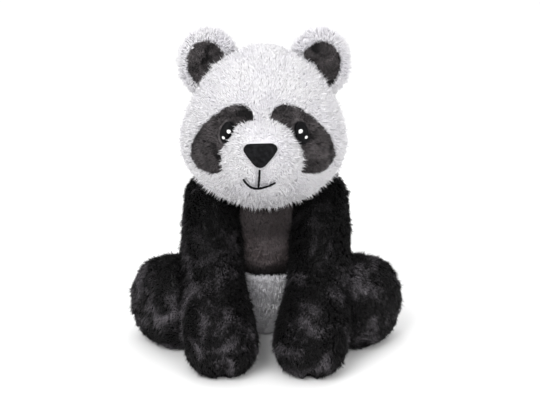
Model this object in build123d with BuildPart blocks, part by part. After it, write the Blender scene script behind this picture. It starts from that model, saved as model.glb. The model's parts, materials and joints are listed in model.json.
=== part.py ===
from build123d import *
import os
from math import cos, hypot, radians, sin

os.makedirs("parts", exist_ok=True)

# Seated plush panda. Millimetres. +Z is up, the panda faces -Y and its left side is +X.
# The origin is on the floor, under the middle of the seat.
# Every solid ends at the fabric backing: the pile stands outside these surfaces.

# Driving dimensions
SKIN = 2.5  # cover fabric together with the matted root of its pile
CLEARANCE = 1.0  # air round the ball of the neck
CHIN_CLEARANCE = 8.5  # air between the head and the shoulders, so that the head can nod and turn
LIMB_CLEARANCE = 2.5  # air round the balls of the shoulders and hips
PRESS_GAP = 1.5  # air where the arm lies along the hind leg
SIDES = {"left": 1, "right": -1}

# Head: a ball squashed fore and aft
HEAD_CENTRE = (0, -22, 212)
HEAD_RADIUS = 70.5
HEAD_DEPTH = 62
GUSSET_HALF = 24  # half the width of the strip over the crown
FACE_SEAM_Y = HEAD_CENTRE[1]  # the seam between the cheeks and the back of the head
CHIN_SEAM_Z = 190

# Muzzle: a smaller ball let into the face
MUZZLE_CENTRE = (0, -70, 200)
MUZZLE_RADIUS = 32
MUZZLE_DEPTH = 30

# Face details
PATCH_X, PATCH_Z = 33, 212
PATCH_LENGTH, PATCH_WIDTH = 35, 21  # semi-axes of the dark oval round an eye
PATCH_LEAN = 54  # degrees from level, dropping outwards
EYE_X, EYE_Z = 33, 219
EYE_WIDTH, EYE_HEIGHT = 5.5, 10.5  # semi-axes of the embroidered oval
EYE_LEAN = 12  # degrees, tops leaning towards the nose
EYE_RAISE = 1.2
GLINT_RAISE = 0.8
GLINTS = ((-1.8, 3.4, 2.2), (2.2, -3.2, 1.6))  # across, up and radius of each white dot
NOSE_WIDTH, NOSE_HEIGHT = 29, 20
NOSE_TOP = 215
NOSE_ROUND = 5
NOSE_RAISE = 3
SMILE_Z, SMILE_HALF, SMILE_DROP = 181, 14, 7
THREAD_WIDTH = 1.6
THREAD_RAISE = 1.2

# Ears: flat lenses that stand just off the head
EAR_CENTRE = (52, -5, 268)
EAR_RADIUS = 24
EAR_BULGE = 5.5
EAR_TURN = 15  # degrees outwards from straight ahead
EAR_LINING_RADIUS = 16
EAR_LINING_RAISE = 1.5
EAR_GAP = 3.5

# Neck: a firm ball of filling, shared by the head and the torso
NECK_PIVOT = (0, -2, 150)
NECK_RADIUS = 31

# Torso: a pear turned about an upright axis
TORSO_Y = 4
SEAT_RADIUS = 40
BELLY_RADIUS, BELLY_Z = 50, 40
CHEST_RADIUS, CHEST_Z = 44, 92
TOP_RADIUS, TOP_Z = 27, 154
YOKE_Z = 64  # the dark fabric is above this seam and the white below it
SEAT_SEAM_Z = 9
BELLY_HALF = 25  # half the width of the belly panel
CHEST_HALF = 21.5  # half the width of the chest panel, which fills the front between the arms

# Arms: from a shoulder ball to a paw on the floor
SHOULDER = (50, -4, 127)
PAW = (44, -108, 26)
SHOULDER_RADIUS = 24
ELBOW_RADIUS = 24
PAW_RADIUS = 27
ARM_NOTCH_X = CHEST_HALF  # flat inner wall of the notch that an arm swings in

# Hind legs: short, level, pointing forwards and outwards
HIP = (40, -8, 38.5)
LEG_TURN = 50  # degrees outwards from straight ahead
HIP_RADIUS = 27
HIP_FLARE_START = 8
KNEE_AT, KNEE_RADIUS = 32, 35
FOOT_AT, FOOT_RADIUS = 60, 40
SOLE_AT, SOLE_RADIUS = 82, 30
SOLE_SEAM_AT = 76
TOE_BEND_AT, TOE_BEND_DROP = 0.66, 0.27  # the bend at the toes, as shares of the run from foot to sole

# Tail, pellets, label and closing stitches
TAIL_PIVOT = (0, TORSO_Y + BELLY_RADIUS, 34)
TAIL_RADIUS = 12
TAIL_REACH = 14  # pivot to the middle of the tail
POUCH_CENTRE = (0, 20, 23)
POUCH_RADIUS, POUCH_HALF_HEIGHT = 19, 13
POUCH_CLOTH = 0.8
LABEL_WIDTH, LABEL_LENGTH, LABEL_THICKNESS = 12, 15, 0.8
LABEL_X, LABEL_Z = -24, 5
STITCH_COUNT, STITCH_PITCH, STITCH_LENGTH = 7, 5, 6
STITCH_WIDTH, STITCH_RAISE = 1.2, 1.0
STITCH_MIDDLE_Z = 62

FAR = 200  # longer than any part: how far cutting shapes reach
FACE = Plane.XZ.offset(-HEAD_CENTRE[1])
MUZZLE_FACE = Plane.XZ.offset(-MUZZLE_CENTRE[1])


def save(piece, name):
    """Label one finished piece and write it under its node name."""
    piece.label = name
    export_step(piece, f"parts/{name}.step")


def ball(centre, radius, start=(1, 0, 0)):
    """A round ball. Its surface starts and ends at the meridian that faces the given way."""
    with BuildPart(Plane(origin=centre, x_dir=start, z_dir=(0, 0, 1))) as body:
        Sphere(radius)
    return body.part


def ellipsoid(centre, across, depth, height, turn=0):
    """A ball stretched to three half-lengths, then turned about the upright axis and set on its centre."""
    with BuildPart() as body:
        Sphere(1)
        scale(by=(across, depth, height))
    return Location(centre, (0, 0, turn)) * body.part


def head_body(inset):
    """The head, smaller all round by the inset."""
    return ellipsoid(HEAD_CENTRE, HEAD_RADIUS - inset, HEAD_DEPTH - inset, HEAD_RADIUS - inset)


def muzzle_body(inset):
    """The muzzle ball, smaller all round by the inset."""
    return ellipsoid(MUZZLE_CENTRE, MUZZLE_RADIUS - inset, MUZZLE_DEPTH - inset, MUZZLE_RADIUS - inset)


def torso_body(inset):
    """The pear of the torso, smaller all round by the inset."""
    with BuildPart() as body:
        with BuildSketch(Plane.XZ.offset(-TORSO_Y)):
            with BuildLine():
                Line((0, inset), (SEAT_RADIUS - inset, inset))
                Spline(
                    (SEAT_RADIUS - inset, inset),
                    (BELLY_RADIUS - inset, BELLY_Z),
                    (CHEST_RADIUS - inset, CHEST_Z),
                    (TOP_RADIUS - inset, TOP_Z - inset),
                    tangents=((1, 0.9), (-1, 0.5)),
                )
                Line((TOP_RADIUS - inset, TOP_Z - inset), (0, TOP_Z - inset))
                Line((0, TOP_Z - inset), (0, inset))
            make_face()
        revolve(axis=Axis((0, TORSO_Y, 0), (0, 0, 1)))
    return body.part


def arm_line(side):
    """The middle of the shoulder, and the reach from there to the middle of the paw."""
    start = Vector(side * SHOULDER[0], SHOULDER[1], SHOULDER[2])
    return start, Vector(side * PAW[0], PAW[1], PAW[2]) - start


def arm_body(side, inset):
    """A whole arm, smaller all round by the inset, flat where the paw rests on the floor."""
    start, reach = arm_line(side)
    length, along = reach.length, reach.normalized()
    shoulder, elbow, paw = SHOULDER_RADIUS - inset, ELBOW_RADIUS - inset, PAW_RADIUS - inset
    with BuildPart() as body:
        with BuildSketch(Plane(origin=start, x_dir=along, z_dir=along.cross(Vector(0, 0, 1)))):
            with BuildLine():
                CenterArc((0, 0), shoulder, 90, 90)
                Spline((0, shoulder), (length / 2, elbow), (length, paw), tangents=((1, 0), (1, 0)))
                CenterArc((length, 0), paw, 0, 90)
                Line((-shoulder, 0), (length + paw, 0))
            make_face()
        revolve(axis=Axis(start, along))
        split(bisect_by=Plane.XY.offset(inset), keep=Keep.TOP)
    return body.part


def arm_hollow(side):
    """The notch an arm needs beside the torso as it swings: open to the front and to the top."""
    along = Vector(0, PAW[1] - SHOULDER[1], PAW[2] - SHOULDER[2]).normalized()
    reach = SHOULDER_RADIUS + LIMB_CLEARANCE
    below = Vector(0, SHOULDER[1] - reach * along.Z, SHOULDER[2] + reach * along.Y)
    ahead = below + along * FAR
    with BuildPart() as hollow:
        with BuildSketch(Plane.YZ.offset(side * ARM_NOTCH_X)):
            with BuildLine():
                Polyline(
                    (SHOULDER[1], SHOULDER[2]),
                    (below.Y, below.Z),
                    (ahead.Y, ahead.Z),
                    (ahead.Y, FAR),
                    (SHOULDER[1], FAR),
                    close=True,
                )
            make_face()
        extrude(amount=side * FAR)
        add(ball((side * SHOULDER[0], SHOULDER[1], SHOULDER[2]), reach))
    return hollow.part


def leg_plane(side):
    """The upright plane along a hind leg: x runs from the hip to the sole and y runs up."""
    along = Vector(side * sin(radians(LEG_TURN)), -cos(radians(LEG_TURN)), 0)
    hip = Vector(side * HIP[0], HIP[1], HIP[2])
    return Plane(origin=hip, x_dir=along, z_dir=along.cross(Vector(0, 0, 1)))


def leg_body(side, inset, arm):
    """A whole hind leg, smaller by the inset, dented where the given arm shape presses on it."""
    plane = leg_plane(side)
    hip, sole_at = HIP_RADIUS - inset, SOLE_AT - inset
    flare = hypot(HIP_RADIUS, HIP_FLARE_START) - HIP_RADIUS + HIP_FLARE_START
    flare_height = (hip**2 - flare**2) ** 0.5
    toe_bend = (
        FOOT_AT + TOE_BEND_AT * (sole_at - FOOT_AT),
        FOOT_RADIUS - inset - TOE_BEND_DROP * (FOOT_RADIUS - SOLE_RADIUS),
    )
    with BuildPart() as body:
        with BuildSketch(plane):
            with BuildLine():
                ThreePointArc((-hip, 0), (-hip * sin(radians(45)), hip * cos(radians(45))), (flare, flare_height))
                Spline(
                    (flare, flare_height),
                    (KNEE_AT, KNEE_RADIUS - inset),
                    (FOOT_AT, FOOT_RADIUS - inset),
                    tangents=((1, 0.3), (1, 0)),
                )
                ThreePointArc((FOOT_AT, FOOT_RADIUS - inset), toe_bend, (sole_at, SOLE_RADIUS - inset))
                Line((sole_at, SOLE_RADIUS - inset), (sole_at, 0))
                Line((sole_at, 0), (-hip, 0))
            make_face()
        revolve(axis=Axis(plane.origin, plane.x_dir))
        split(bisect_by=Plane.XY.offset(inset), keep=Keep.TOP)
        add(arm, mode=Mode.SUBTRACT)
    return body.part


def face_column(outline):
    """Carry an outline drawn on an upright plane forwards, through the face."""
    with BuildPart() as column:
        extrude(outline, amount=FAR)
    return column.part


def raised(column, outer, inner):
    """The part of a thin shell between two bodies that lies inside a column."""
    with BuildPart() as layer:
        add(outer)
        add(inner, mode=Mode.SUBTRACT)
        add(column, mode=Mode.INTERSECT)
    return layer.part


def oval(x, z, half_width, half_height, lean):
    """An oval on the face plane, leaning by so many degrees from upright."""
    with BuildSketch(FACE) as outline:
        with Locations(Location((x, z, 0), (0, 0, lean))):
            Ellipse(half_width, half_height)
    return outline.sketch


# Shared bodies: each is used to shape several pieces
HEAD_OUTER = head_body(0)
HEAD_INNER = head_body(SKIN)
MUZZLE_OUTER = muzzle_body(0)
MUZZLE_INNER = muzzle_body(SKIN)
TORSO_OUTER = torso_body(0)
TORSO_INNER = torso_body(SKIN)
NECK_SOCKET = ball(NECK_PIVOT, NECK_RADIUS + CLEARANCE)
TORSO_HOLLOWS = [NECK_SOCKET, head_body(-CHIN_CLEARANCE)]
for side in SIDES.values():
    TORSO_HOLLOWS.append(arm_hollow(side))
    TORSO_HOLLOWS.append(ball((side * HIP[0], HIP[1], HIP[2]), HIP_RADIUS + LIMB_CLEARANCE, (-side, 0, 0)))
PATCH_COLUMNS = {
    name: face_column(oval(side * PATCH_X, PATCH_Z, PATCH_LENGTH, PATCH_WIDTH, -side * PATCH_LEAN))
    for name, side in SIDES.items()
}

# Head covers

with BuildPart() as head_shell:
    add(HEAD_OUTER)
    add(HEAD_INNER, mode=Mode.SUBTRACT)
    add(MUZZLE_OUTER, mode=Mode.SUBTRACT)
    add(NECK_SOCKET, mode=Mode.SUBTRACT)

for name, side in SIDES.items():
    with BuildPart() as eye_patch:
        add(head_shell.part)
        add(PATCH_COLUMNS[name], mode=Mode.INTERSECT)
    save(eye_patch.part, f"{name}_eye_patch")

with BuildPart() as centre_strip:
    add(head_shell.part)
    add(list(PATCH_COLUMNS.values()), mode=Mode.SUBTRACT)
    split(bisect_by=Plane.YZ.offset(-GUSSET_HALF), keep=Keep.TOP)
    split(bisect_by=Plane.YZ.offset(GUSSET_HALF), keep=Keep.BOTTOM)

with BuildPart() as chin_corner:
    with BuildSketch(Plane.XY):
        with Locations((0, FACE_SEAM_Y - FAR / 2)):
            Rectangle(FAR, FAR)
    extrude(amount=CHIN_SEAM_Z)

with BuildPart() as head_gusset:
    add(centre_strip.part)
    add(chin_corner.part, mode=Mode.SUBTRACT)
save(head_gusset.part, "head_gusset")

with BuildPart() as chin_panel:
    add(centre_strip.part)
    add(chin_corner.part, mode=Mode.INTERSECT)
save(chin_panel.part, "chin_panel")

for name, side in SIDES.items():
    side_plane = Plane(origin=(side * GUSSET_HALF, 0, 0), z_dir=(side, 0, 0))
    with BuildPart() as cheek:
        add(head_shell.part)
        add(PATCH_COLUMNS[name], mode=Mode.SUBTRACT)
        split(bisect_by=side_plane, keep=Keep.TOP)
        split(bisect_by=Plane.XZ.offset(-FACE_SEAM_Y), keep=Keep.TOP)
    save(cheek.part, f"{name}_cheek")
    with BuildPart() as head_back:
        add(head_shell.part)
        split(bisect_by=side_plane, keep=Keep.TOP)
        split(bisect_by=Plane.XZ.offset(-FACE_SEAM_Y), keep=Keep.BOTTOM)
    save(head_back.part, f"{name}_head_back")

with BuildPart() as head_stuffing:
    add(HEAD_INNER)
    add(NECK_SOCKET, mode=Mode.SUBTRACT)
save(head_stuffing.part, "head_stuffing")

# Muzzle, nose and mouth

for name, side in SIDES.items():
    with BuildPart() as muzzle_panel:
        add(MUZZLE_OUTER)
        add(MUZZLE_INNER, mode=Mode.SUBTRACT)
        add(HEAD_INNER, mode=Mode.SUBTRACT)
        split(bisect_by=Plane(origin=(0, 0, 0), z_dir=(side, 0, 0)), keep=Keep.TOP)
    save(muzzle_panel.part, f"{name}_muzzle_panel")

with BuildPart() as muzzle_stuffing:
    add(MUZZLE_INNER)
    add(HEAD_INNER, mode=Mode.SUBTRACT)
save(muzzle_stuffing.part, "muzzle_stuffing")

with BuildSketch(MUZZLE_FACE) as nose_outline:
    with BuildLine():
        Polyline(
            (-NOSE_WIDTH / 2, NOSE_TOP),
            (NOSE_WIDTH / 2, NOSE_TOP),
            (0, NOSE_TOP - NOSE_HEIGHT - NOSE_ROUND / 2),
            close=True,
        )
    make_face()
    fillet(nose_outline.vertices(), NOSE_ROUND)
NOSE_COLUMN = face_column(nose_outline.sketch)
save(raised(NOSE_COLUMN, muzzle_body(-NOSE_RAISE), MUZZLE_OUTER), "nose")

with BuildSketch(MUZZLE_FACE) as mouth_outline:
    with BuildLine() as mouth_lines:
        ThreePointArc((-SMILE_HALF, SMILE_Z), (0, SMILE_Z - SMILE_DROP), (SMILE_HALF, SMILE_Z))
        Line((0, NOSE_TOP - NOSE_HEIGHT - NOSE_ROUND / 2), (0, SMILE_Z - SMILE_DROP))
    trace(mouth_lines.line, line_width=THREAD_WIDTH)
with BuildPart() as mouth_stitching:
    add(raised(face_column(mouth_outline.sketch), muzzle_body(-THREAD_RAISE), MUZZLE_OUTER))
    add(NOSE_COLUMN, mode=Mode.SUBTRACT)
save(mouth_stitching.part, "mouth_stitching")

# Eyes and the two white dots in each

EYE_SURFACE = head_body(-EYE_RAISE)
for name, side in SIDES.items():
    eye_outline = oval(side * EYE_X, EYE_Z, EYE_WIDTH, EYE_HEIGHT, side * EYE_LEAN)
    with BuildPart() as eye:
        add(raised(face_column(eye_outline), EYE_SURFACE, HEAD_OUTER))
        add(MUZZLE_OUTER, mode=Mode.SUBTRACT)
    save(eye.part, f"{name}_eye")
    with BuildSketch(FACE) as dots:
        for across, up, radius in GLINTS:
            with Locations((side * (EYE_X + across), EYE_Z + up)):
                Circle(radius)
    glints = raised(face_column(dots.sketch), head_body(-EYE_RAISE - GLINT_RAISE), EYE_SURFACE)
    save(glints, f"{name}_eye_glints")

# Ears: a front and a back, each half of a lens, and a dark lining sewn on the front

EAR_SEAT = head_body(-EAR_GAP)
for name, side in SIDES.items():
    turn = side * EAR_TURN
    centre = (side * EAR_CENTRE[0], EAR_CENTRE[1], EAR_CENTRE[2])
    forward = (sin(radians(turn)), -cos(radians(turn)), 0)
    ear_plane = Plane(origin=centre, x_dir=(cos(radians(turn)), sin(radians(turn)), 0), z_dir=forward)
    lens = ellipsoid(centre, EAR_RADIUS, EAR_BULGE, EAR_RADIUS, turn)
    raised_lens = ellipsoid(
        centre, EAR_RADIUS + EAR_LINING_RAISE, EAR_BULGE + EAR_LINING_RAISE, EAR_RADIUS + EAR_LINING_RAISE, turn
    )
    with BuildPart() as ear_front:
        add(lens)
        add(EAR_SEAT, mode=Mode.SUBTRACT)
        split(bisect_by=ear_plane, keep=Keep.TOP)
    save(ear_front.part, f"{name}_ear_front")
    with BuildPart() as ear_back:
        add(lens)
        add(EAR_SEAT, mode=Mode.SUBTRACT)
        split(bisect_by=ear_plane, keep=Keep.BOTTOM)
    save(ear_back.part, f"{name}_ear_back")
    with BuildPart() as lining_column:
        with BuildSketch(ear_plane):
            Circle(EAR_LINING_RADIUS)
        extrude(amount=EAR_RADIUS)
    with BuildPart() as ear_lining:
        add(raised(lining_column.part, raised_lens, lens))
        add(EAR_SEAT, mode=Mode.SUBTRACT)
    save(ear_lining.part, f"{name}_ear_lining")

# Neck

save(ball(NECK_PIVOT, NECK_RADIUS), "neck_stuffing")

# Torso covers

with BuildPart() as torso_shell:
    add(TORSO_OUTER)
    add(TORSO_INNER, mode=Mode.SUBTRACT)
    add(TORSO_HOLLOWS, mode=Mode.SUBTRACT)


def front_strip(half_width):
    """Everything in front of the middle of the body, out to a half-width each side."""
    with BuildPart() as strip:
        with BuildSketch(Plane.XY):
            with Locations((0, -FAR / 2)):
                Rectangle(2 * half_width, FAR)
        extrude(amount=FAR)
    return strip.part


BELLY_STRIP = front_strip(BELLY_HALF)
CHEST_STRIP = front_strip(CHEST_HALF)

with BuildPart() as seat_panel:
    add(torso_shell.part)
    split(bisect_by=Plane.XY.offset(SEAT_SEAM_Z), keep=Keep.BOTTOM)
save(seat_panel.part, "seat_panel")

with BuildPart() as lower_cover:
    add(torso_shell.part)
    split(bisect_by=Plane.XY.offset(SEAT_SEAM_Z), keep=Keep.TOP)
    split(bisect_by=Plane.XY.offset(YOKE_Z), keep=Keep.BOTTOM)

with BuildPart() as upper_cover:
    add(torso_shell.part)
    split(bisect_by=Plane.XY.offset(YOKE_Z), keep=Keep.TOP)

with BuildPart() as belly_panel:
    add(lower_cover.part)
    add(BELLY_STRIP, mode=Mode.INTERSECT)
save(belly_panel.part, "belly_panel")

with BuildPart() as chest_panel:
    add(upper_cover.part)
    add(CHEST_STRIP, mode=Mode.INTERSECT)
save(chest_panel.part, "chest_panel")

for name, side in SIDES.items():
    with BuildPart() as lower_back:
        add(lower_cover.part)
        add(BELLY_STRIP, mode=Mode.SUBTRACT)
        split(bisect_by=Plane(origin=(0, 0, 0), z_dir=(side, 0, 0)), keep=Keep.TOP)
    save(lower_back.part, f"{name}_lower_back")
    with BuildPart() as upper_back:
        add(upper_cover.part)
        add(CHEST_STRIP, mode=Mode.SUBTRACT)
        split(bisect_by=Plane(origin=(0, 0, 0), z_dir=(side, 0, 0)), keep=Keep.TOP)
    save(upper_back.part, f"{name}_upper_back")

# Torso filling, with the pouch of pellets that keeps the panda sitting


def pouch_body(inset):
    """A fat round cushion with a flat top and bottom, smaller all round by the inset."""
    flat = POUCH_RADIUS - POUCH_HALF_HEIGHT
    half_height = POUCH_HALF_HEIGHT - inset
    with BuildPart() as body:
        with BuildSketch(Plane.XZ):
            with BuildLine():
                Line((0, -half_height), (flat, -half_height))
                CenterArc((flat, 0), half_height, -90, 180)
                Line((flat, half_height), (0, half_height))
                Line((0, half_height), (0, -half_height))
            make_face()
        revolve(axis=Axis.Z)
    return Location(POUCH_CENTRE) * body.part


POUCH = pouch_body(0)
PELLETS = pouch_body(POUCH_CLOTH)
save(PELLETS, "pellets")

with BuildPart() as pellet_pouch:
    add(POUCH)
    add(PELLETS, mode=Mode.SUBTRACT)
save(pellet_pouch.part, "pellet_pouch")

with BuildPart() as torso_stuffing:
    add(TORSO_INNER)
    add(TORSO_HOLLOWS, mode=Mode.SUBTRACT)
    add(POUCH, mode=Mode.SUBTRACT)
save(torso_stuffing.part, "torso_stuffing")

# Hand-sewn closing stitches across the seam down the back

with BuildPart() as stitch_columns:
    with BuildSketch(Plane.XZ):
        with Locations((0, STITCH_MIDDLE_Z)):
            with GridLocations(0, STITCH_PITCH, 1, STITCH_COUNT):
                SlotOverall(STITCH_LENGTH, STITCH_WIDTH)
    extrude(amount=-FAR)
with BuildPart() as closing_stitches:
    add(torso_body(-STITCH_RAISE))
    add(TORSO_OUTER, mode=Mode.SUBTRACT)
    add(stitch_columns.part, mode=Mode.INTERSECT)
save(closing_stitches.part, "closing_stitches")

# Blank label in the seat seam

with BuildPart() as care_label:
    with BuildSketch(Plane.XY.offset(LABEL_Z)):
        with Locations((LABEL_X, TORSO_Y + SEAT_RADIUS)):
            Rectangle(LABEL_WIDTH, 2 * LABEL_LENGTH)
    extrude(amount=LABEL_THICKNESS)
    add(TORSO_OUTER, mode=Mode.SUBTRACT)
    split(bisect_by=Plane.XZ.offset(-TORSO_Y), keep=Keep.BOTTOM)
save(care_label.part, "care_label")

# Arms

for name, side in SIDES.items():
    arm_outer = arm_body(side, 0)
    arm_inner = arm_body(side, SKIN)
    save(arm_inner, f"{name}_arm_stuffing")
    arm_start, arm_reach = arm_line(side)
    seam = Plane(origin=arm_start, z_dir=arm_reach.cross(Vector(side, 0, 0)).cross(arm_reach))
    for panel, kept in (("outer", Keep.TOP), ("inner", Keep.BOTTOM)):
        with BuildPart() as arm_panel:
            add(arm_outer)
            add(arm_inner, mode=Mode.SUBTRACT)
            split(bisect_by=seam, keep=kept)
        save(arm_panel.part, f"{name}_arm_{panel}")

# Hind legs

for name, side in SIDES.items():
    leg_outer = leg_body(side, 0, arm_body(side, -PRESS_GAP))
    leg_inner = leg_body(side, SKIN, arm_body(side, -PRESS_GAP - SKIN))
    save(leg_inner, f"{name}_leg_stuffing")
    plane = leg_plane(side)
    sole_seam = Plane(origin=plane.origin + plane.x_dir * SOLE_SEAM_AT, z_dir=plane.x_dir)
    with BuildPart() as foot_sole:
        add(leg_outer)
        add(leg_inner, mode=Mode.SUBTRACT)
        split(bisect_by=sole_seam, keep=Keep.TOP)
    save(foot_sole.part, f"{name}_foot_sole")
    for panel, kept in (("upper", Keep.TOP), ("under", Keep.BOTTOM)):
        with BuildPart() as leg_panel:
            add(leg_outer)
            add(leg_inner, mode=Mode.SUBTRACT)
            split(bisect_by=sole_seam, keep=Keep.BOTTOM)
            split(bisect_by=Plane.XY.offset(HIP[2]), keep=kept)
        save(leg_panel.part, f"{name}_leg_{panel}")

# Tail

tail_centre = (0, TAIL_PIVOT[1] + TAIL_REACH, TAIL_PIVOT[2])
TAIL_FILLING = ball(tail_centre, TAIL_RADIUS - SKIN)
save(TAIL_FILLING, "tail_stuffing")
with BuildPart() as tail_cover:
    add(ball(tail_centre, TAIL_RADIUS))
    add(TAIL_FILLING, mode=Mode.SUBTRACT)
save(tail_cover.part, "tail_cover")
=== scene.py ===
import json
import math

import bpy
import numpy as np
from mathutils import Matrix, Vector, kdtree
from mathutils.bvhtree import BVHTree


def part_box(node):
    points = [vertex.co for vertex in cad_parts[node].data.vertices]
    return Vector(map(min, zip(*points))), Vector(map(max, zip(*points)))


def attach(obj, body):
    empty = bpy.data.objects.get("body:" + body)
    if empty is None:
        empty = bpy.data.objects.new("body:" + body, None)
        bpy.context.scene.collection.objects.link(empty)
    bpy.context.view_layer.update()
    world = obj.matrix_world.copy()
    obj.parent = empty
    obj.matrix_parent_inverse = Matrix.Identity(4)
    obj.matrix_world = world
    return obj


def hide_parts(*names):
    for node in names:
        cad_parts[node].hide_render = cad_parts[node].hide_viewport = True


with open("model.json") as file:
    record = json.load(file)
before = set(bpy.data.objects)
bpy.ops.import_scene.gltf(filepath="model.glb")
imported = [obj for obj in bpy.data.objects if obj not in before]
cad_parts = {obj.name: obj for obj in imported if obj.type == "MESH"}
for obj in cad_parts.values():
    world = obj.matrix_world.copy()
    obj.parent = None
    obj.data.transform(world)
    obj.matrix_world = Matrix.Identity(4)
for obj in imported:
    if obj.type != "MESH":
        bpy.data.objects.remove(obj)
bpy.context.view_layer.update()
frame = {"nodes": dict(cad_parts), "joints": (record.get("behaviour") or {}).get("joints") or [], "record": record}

# Seated plush panda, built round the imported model.
# Metres. The panda faces -Y and its left side is +X.
# Every padded part is a closed form made from its CAD pieces: remeshed, drawn in along its seams and
# puffed out by a cloth simulation. The fur is real geometry: tapering locks rooted on those forms.

MM = 0.001
rng = np.random.default_rng(7)
NODES = frame["nodes"]
JOINTS = {j["name"]: j for j in frame["joints"]}
SLOTS = {s["node"]: s["material_slot"] for s in frame["record"]["subparts"]}
BODIES = frame["record"]["behaviour"]["bodies"]
SIDES = {"left": 1, "right": -1}


def pivot(joint):
    """A joint's place in the frame."""
    return np.array(JOINTS[joint]["pos_m"], float)


def middle(node):
    """The middle of a CAD node's box."""
    low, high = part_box(node)
    return np.array((low + high) / 2, float)


def span(node):
    """The three sides of a CAD node's box."""
    low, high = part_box(node)
    return np.array(high - low, float)


def unit(v):
    """Vectors scaled to length one."""
    return v / np.maximum(np.linalg.norm(v, axis=-1, keepdims=True), 1e-12)


def smoothstep(x):
    """0 below 0, 1 above 1 and an S-shaped curve between."""
    x = np.clip(x, 0, 1)
    return x * x * (3 - 2 * x)


def rising(start, x):
    """From the start value at 0, up to 1 at 1."""
    return start + (1 - start) * smoothstep(x)


# ---------------------------------------------------------------- mesh helpers


def link(mesh, name):
    """A new scene object for a mesh."""
    thing = bpy.data.objects.new(name, mesh)
    bpy.context.scene.collection.objects.link(thing)
    return thing


def vertices_of(thing):
    """An object's vertices as an array."""
    co = np.empty(len(thing.data.vertices) * 3)
    thing.data.vertices.foreach_get("co", co)
    return co.reshape(-1, 3)


def normals_of(thing):
    """An object's vertex normals as an array."""
    normals = np.empty(len(thing.data.vertices) * 3)
    thing.data.vertices.foreach_get("normal", normals)
    return normals.reshape(-1, 3)


def move_vertices(thing, co):
    """Puts an object's vertices where the array says."""
    thing.data.vertices.foreach_set("co", co.ravel())
    thing.data.update()


def settle(thing):
    """Applies every modifier on an object."""
    depsgraph = bpy.context.evaluated_depsgraph_get()
    mesh = bpy.data.meshes.new_from_object(thing.evaluated_get(depsgraph))
    thing.modifiers.clear()
    thing.data = mesh


def shade_smooth(mesh):
    """Smooth shading on every face."""
    mesh.polygons.foreach_set("use_smooth", np.ones(len(mesh.polygons), bool))


def tree_of(thing):
    """A search tree over an object's faces."""
    return BVHTree.FromObject(thing, bpy.context.evaluated_depsgraph_get())


def distance_to(tree, points):
    """How far each point is from the nearest face of a tree."""
    return np.array([tree.find_nearest(p)[3] for p in points])


CAD_TREES = {name: tree_of(thing) for name, thing in NODES.items() if "stuffing" not in name}
NO_SEAM = 50 * MM  # stands for the distance to a seam where there is none


def combined_tree(nodes):
    """One search tree over several CAD nodes, and the node that each of its faces belongs to."""
    points, faces, owner = [], [], []
    for index, node in enumerate(nodes):
        first = len(points)
        points.extend(vertices_of(NODES[node]).tolist())
        for polygon in NODES[node].data.polygons:
            faces.append([first + v for v in polygon.vertices])
            owner.append(index)
    return BVHTree.FromPolygons(points, faces), np.array(owner)


def nearest_cover(points, finder):
    """Which cover is nearest to each point."""
    tree, owner = finder
    return owner[[tree.find_nearest(p)[2] for p in points]]


def seam_margin(points, covers):
    """How much further away the second nearest cover is than the nearest: 0 on a seam."""
    if len(covers) == 1:
        return np.full(len(points), NO_SEAM)
    distances = np.sort([distance_to(CAD_TREES[name], points) for name in covers], axis=0)
    return distances[1] - distances[0]


def remember(thing, name, values):
    """Keeps a value for every vertex on the mesh itself, so later steps carry it along."""
    wide = values.ndim == 2
    layer = thing.data.attributes.new(name, "FLOAT_VECTOR" if wide else "FLOAT", "POINT")
    layer.data.foreach_set("vector" if wide else "value", values.astype(np.float32).ravel())


def recall(thing, name):
    """Reads a remembered value back."""
    layer = thing.data.attributes[name]
    wide = layer.data_type == "FLOAT_VECTOR"
    values = np.empty(len(layer.data) * (3 if wide else 1), np.float32)
    layer.data.foreach_get("vector" if wide else "value", values)
    return values.reshape(-1, 3 if wide else 1).astype(float)


# ---------------------------------------------------------------- materials


def new_material(name):
    """An empty principled material with its tree and shader."""
    material = bpy.data.materials.new(name)
    material.use_nodes = True
    tree = material.node_tree
    return material, tree, tree.nodes["Principled BSDF"]


def noise_ramp(tree, scale, detail, low, high, stops):
    """Object-space noise through a colour ramp."""
    coordinate = tree.nodes.new("ShaderNodeTexCoord")
    noise = tree.nodes.new("ShaderNodeTexNoise")
    noise.inputs["Scale"].default_value = scale
    noise.inputs["Detail"].default_value = detail
    ramp = tree.nodes.new("ShaderNodeValToRGB")
    ramp.color_ramp.elements[0].position = stops[0]
    ramp.color_ramp.elements[0].color = (*low, 1)
    ramp.color_ramp.elements[1].position = stops[1]
    ramp.color_ramp.elements[1].color = (*high, 1)
    tree.links.new(coordinate.outputs["Object"], noise.inputs["Vector"])
    tree.links.new(noise.outputs["Fac"], ramp.inputs["Fac"])
    return noise, ramp


def add_bump(tree, shader, height, strength, distance):
    """Bump on a shader from a height output."""
    bump = tree.nodes.new("ShaderNodeBump")
    bump.inputs["Strength"].default_value = strength
    bump.inputs["Distance"].default_value = distance
    tree.links.new(height, bump.inputs["Height"])
    tree.links.new(bump.outputs["Normal"], shader.inputs["Normal"])


CLOUD_DETAIL = 5
GRAIN_SCALE = 450
GRAIN_STRENGTH = 0.3
BAND_WANDER = 12 * MM  # how far the edge of a band of painted shading strays up and down


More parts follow.
